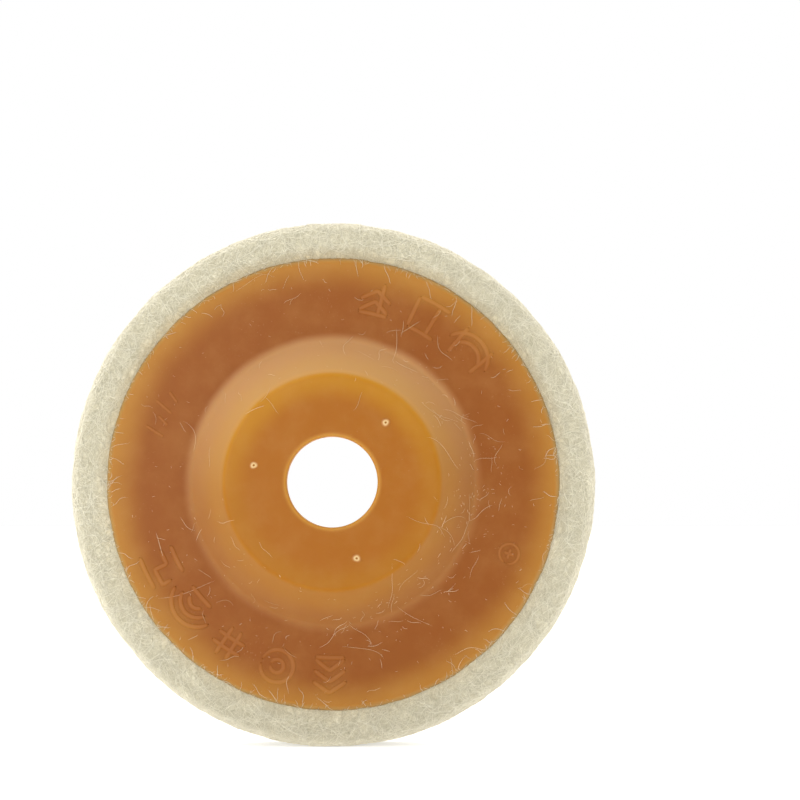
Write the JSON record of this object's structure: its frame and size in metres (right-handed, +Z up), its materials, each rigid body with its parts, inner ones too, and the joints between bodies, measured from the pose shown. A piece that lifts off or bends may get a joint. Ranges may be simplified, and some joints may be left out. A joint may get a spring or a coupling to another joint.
{
  "type": "felt polishing wheel",
  "caption": "Ring of pressed wool felt bonded to a moulded plastic cap, whose raised hollow hub has a plain spindle bore.",
  "frame": {"origin": "centre of the wheel's box, on its axis and midway between the hub's face and the felt's working face", "axes": "+Y along the wheel's axis, towards the felt's working face, so the hub faces -Y; +Z up with the wheel standing on its rim; +X to the right seen from the hub side"},
  "size_m": [0.095, 0.0196, 0.095],
  "materials": {
    "amber_plastic": "satin moulded translucent amber plastic",
    "set_glue": "dull set glue, yellow-brown",
    "wool_felt": "matt pressed cream wool felt with loose surface hairs"
  },
  "bodies": {
    "root": {"backing_cap": "amber_plastic", "adhesive_film": "set_glue", "felt_ring": "wool_felt"}
  },
  "joints": []
}
